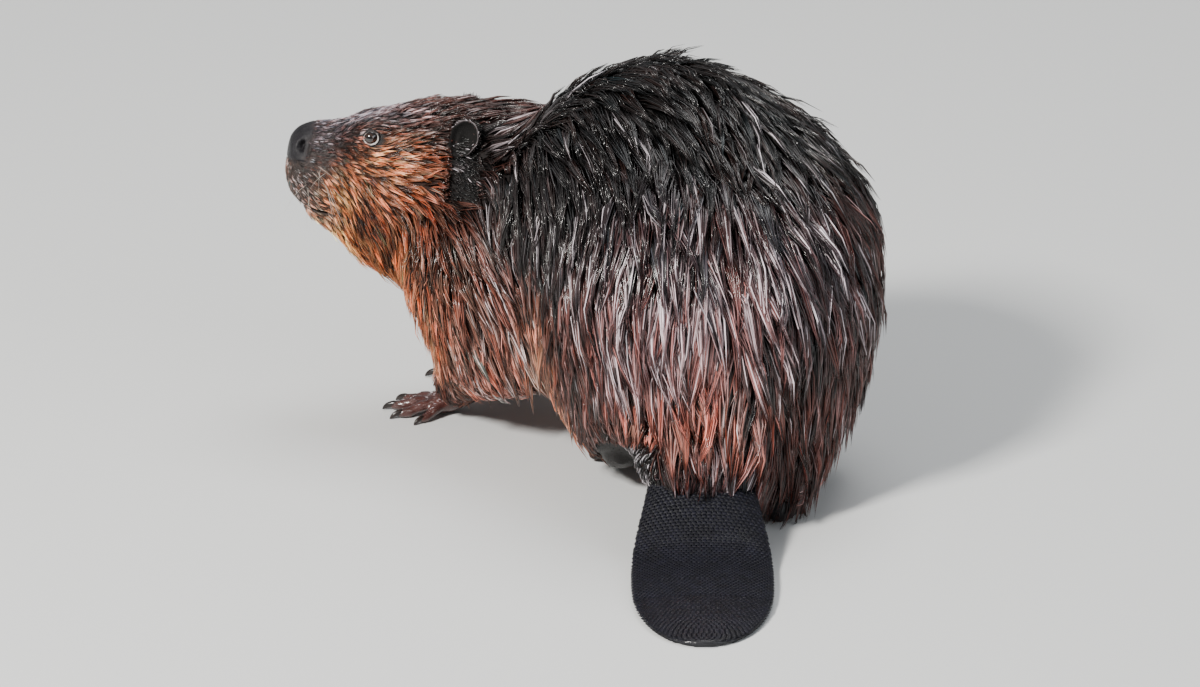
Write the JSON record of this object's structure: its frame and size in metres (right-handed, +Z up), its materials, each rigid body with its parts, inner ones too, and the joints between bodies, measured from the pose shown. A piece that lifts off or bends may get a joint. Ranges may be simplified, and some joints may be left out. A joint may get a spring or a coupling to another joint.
{
  "type": "beaver",
  "caption": "Adult beaver, life size, standing on all fours with a rounded wet back, its head and forequarters turned to its left and its broad flat tail on the ground behind.",
  "frame": {"origin": "middle of the footprint box, on the ground under the soles and the tail", "axes": "+Z up; the tail points to -Y, the hindquarters face +Y and the nose points to -X"},
  "size_m": [0.5222, 0.6314, 0.3645],
  "materials": {
    "back_fur": "wet guard hairs, very dark brown, glossy",
    "cheek_fur": "wet guard hairs, orange-brown on cheeks and throat, dark on the crown",
    "leg_fur": "wet guard hairs, reddish brown",
    "bare_skin": "bare black skin, scaly on the tail, damp",
    "eye": "dark, clear and wet",
    "enamel": "orange enamel, smooth"
  },
  "bodies": {
    "root": {"left_hind_leg": "leg_fur", "right_hind_leg": "leg_fur", "left_foreleg": "leg_fur", "right_foreleg": "leg_fur", "tail_root": "back_fur", "neck": "cheek_fur", "trunk": "back_fur", "head": "cheek_fur", "incisors": "enamel", "left_eye": "eye", "left_ear": "bare_skin", "right_eye": "eye", "right_ear": "bare_skin", "left_forefoot": "bare_skin", "right_forefoot": "bare_skin", "left_hind_foot": "bare_skin", "right_hind_foot": "bare_skin", "tail": "bare_skin"}
  },
  "joints": []
}
